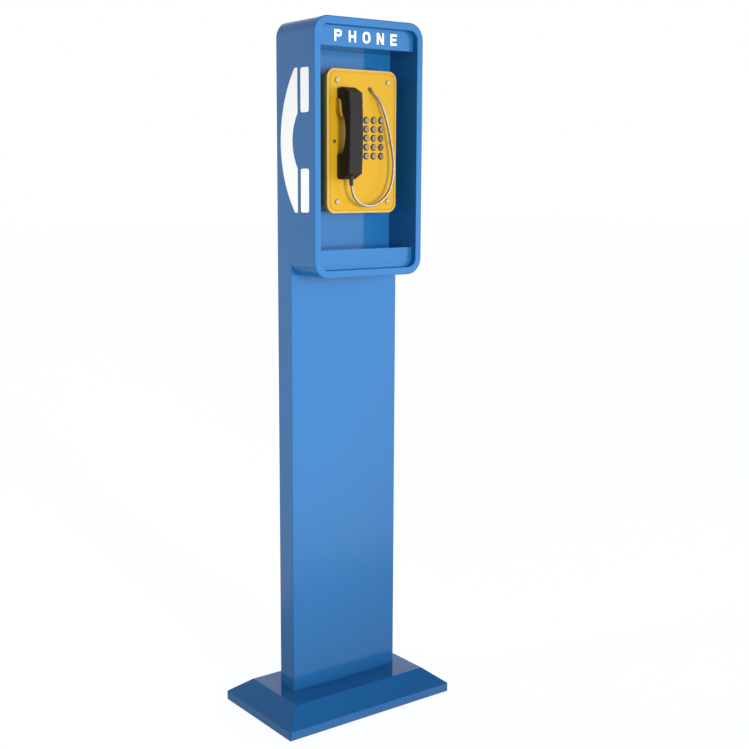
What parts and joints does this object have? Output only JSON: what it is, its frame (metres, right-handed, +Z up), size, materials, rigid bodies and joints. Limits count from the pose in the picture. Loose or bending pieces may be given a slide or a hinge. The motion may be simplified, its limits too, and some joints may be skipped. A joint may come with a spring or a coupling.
{
  "type": "pedestal telephone booth",
  "caption": "Pedestal telephone booth: a flat column on a low sloped base carries a hooded bay with a weatherproof push-button telephone, lift-off handset and armoured cord.",
  "frame": {"origin": "centre of the base's underside, on the floor", "axes": "+Z up, -Y towards the user, +X to the user's right"},
  "size_m": [0.5, 0.3, 1.708],
  "materials": {
    "blue_paint": "gloss polyester powder coat",
    "zinc_steel": "zinc plated",
    "stainless": "brushed stainless",
    "dark_screw": "bronzed",
    "yellow_paint": "satin powder coat",
    "white_vinyl": "cut vinyl film",
    "black_plastic": "satin moulded",
    "dark_plastic": "moulded",
    "black_rubber": "matt",
    "cord_steel": "wound steel strip",
    "circuit_board": "lacquered"
  },
  "bodies": {
    "booth": {"base_shroud": "blue_paint", "column_shell": "blue_paint", "column_rear_panel": "blue_paint", "hood_rear_panel": "blue_paint", "hood_shell": "blue_paint", "hood_liner": "blue_paint", "fascia_panel": "blue_paint", "sill_panel": "blue_paint", "base_plate": "zinc_steel", "shroud_brackets": "zinc_steel", "foot_brackets": "zinc_steel", "foot_bolts": "zinc_steel", "hood_bolts": "zinc_steel", "phone_fixing_bolts": "zinc_steel", "hook_bracket": "zinc_steel", "keypad_backplate": "zinc_steel", "hook_pin": "zinc_steel", "hook_spring": "zinc_steel", "rear_panel_screws": "stainless", "corner_screws": "stainless", "side_screws": "dark_screw", "cord_ferrule": "dark_screw", "phone_back_box": "yellow_paint", "phone_faceplate": "yellow_paint", "cradle": "yellow_paint", "sign_lettering": "white_vinyl", "handset_symbol_left": "white_vinyl", "handset_symbol_right": "white_vinyl", "keypad_bezel": "dark_plastic", "hook_switch": "dark_plastic", "terminal_block": "dark_plastic", "cable_grommet": "black_rubber", "faceplate_gasket": "black_rubber", "keypad_membrane": "black_rubber", "armoured_cord": "cord_steel", "keypad_board": "circuit_board", "main_board": "circuit_board"},
    "handset": {"handset_shell": "black_plastic", "earpiece_cap": "black_plastic", "mouthpiece_cap": "black_plastic", "receiver_capsule": "dark_plastic", "microphone_capsule": "dark_plastic", "handset_boot": "black_rubber"},
    "hook_lever_body": {"hook_lever": "stainless"},
    "key_1_body": {"key_1": "stainless"},
    "key_2_body": {"key_2": "stainless"},
    "key_3_body": {"key_3": "stainless"},
    "key_4_body": {"key_4": "stainless"},
    "key_5_body": {"key_5": "stainless"},
    "key_6_body": {"key_6": "stainless"},
    "key_7_body": {"key_7": "stainless"},
    "key_8_body": {"key_8": "stainless"},
    "key_9_body": {"key_9": "stainless"},
    "key_star_body": {"key_star": "stainless"},
    "key_0_body": {"key_0": "stainless"},
    "key_hash_body": {"key_hash": "stainless"},
    "key_volume_body": {"key_volume": "stainless"},
    "key_hold_body": {"key_hold": "stainless"},
    "key_redial_body": {"key_redial": "stainless"}
  },
  "joints": [
    {"name": "handset_lift", "type": "slide", "parent": "booth", "child": "handset", "axis": [0, -0.9397, 0.342], "range_m": [0, 0.12], "deforming": ["armoured_cord"]},
    {"name": "hook_lever_rise", "type": "hinge", "parent": "booth", "child": "hook_lever_body", "pos_m": [-0.056, -0.084, 1.512], "axis": [-1, 0, 0], "range_deg": [0, 12]},
    {"name": "key_1_press", "type": "slide", "parent": "booth", "child": "key_1_body", "axis": [0, 1, 0], "range_m": [0, 0.0015], "stiffness_N_per_m": 400},
    {"name": "key_2_press", "type": "slide", "parent": "booth", "child": "key_2_body", "axis": [0, 1, 0], "range_m": [0, 0.0015], "stiffness_N_per_m": 400},
    {"name": "key_3_press", "type": "slide", "parent": "booth", "child": "key_3_body", "axis": [0, 1, 0], "range_m": [0, 0.0015], "stiffness_N_per_m": 400},
    {"name": "key_4_press", "type": "slide", "parent": "booth", "child": "key_4_body", "axis": [0, 1, 0], "range_m": [0, 0.0015], "stiffness_N_per_m": 400},
    {"name": "key_5_press", "type": "slide", "parent": "booth", "child": "key_5_body", "axis": [0, 1, 0], "range_m": [0, 0.0015], "stiffness_N_per_m": 400},
    {"name": "key_6_press", "type": "slide", "parent": "booth", "child": "key_6_body", "axis": [0, 1, 0], "range_m": [0, 0.0015], "stiffness_N_per_m": 400},
    {"name": "key_7_press", "type": "slide", "parent": "booth", "child": "key_7_body", "axis": [0, 1, 0], "range_m": [0, 0.0015], "stiffness_N_per_m": 400},
    {"name": "key_8_press", "type": "slide", "parent": "booth", "child": "key_8_body", "axis": [0, 1, 0], "range_m": [0, 0.0015], "stiffness_N_per_m": 400},
    {"name": "key_9_press", "type": "slide", "parent": "booth", "child": "key_9_body", "axis": [0, 1, 0], "range_m": [0, 0.0015], "stiffness_N_per_m": 400},
    {"name": "key_star_press", "type": "slide", "parent": "booth", "child": "key_star_body", "axis": [0, 1, 0], "range_m": [0, 0.0015], "stiffness_N_per_m": 400},
    {"name": "key_0_press", "type": "slide", "parent": "booth", "child": "key_0_body", "axis": [0, 1, 0], "range_m": [0, 0.0015], "stiffness_N_per_m": 400},
    {"name": "key_hash_press", "type": "slide", "parent": "booth", "child": "key_hash_body", "axis": [0, 1, 0], "range_m": [0, 0.0015], "stiffness_N_per_m": 400},
    {"name": "key_volume_press", "type": "slide", "parent": "booth", "child": "key_volume_body", "axis": [0, 1, 0], "range_m": [0, 0.0015], "stiffness_N_per_m": 400},
    {"name": "key_hold_press", "type": "slide", "parent": "booth", "child": "key_hold_body", "axis": [0, 1, 0], "range_m": [0, 0.0015], "stiffness_N_per_m": 400},
    {"name": "key_redial_press", "type": "slide", "parent": "booth", "child": "key_redial_body", "axis": [0, 1, 0], "range_m": [0, 0.0015], "stiffness_N_per_m": 400}
  ],
  "couplings": [
    {"joint": "hook_lever_rise", "follows": "handset_lift", "rad_per_m": 1.745}
  ]
}
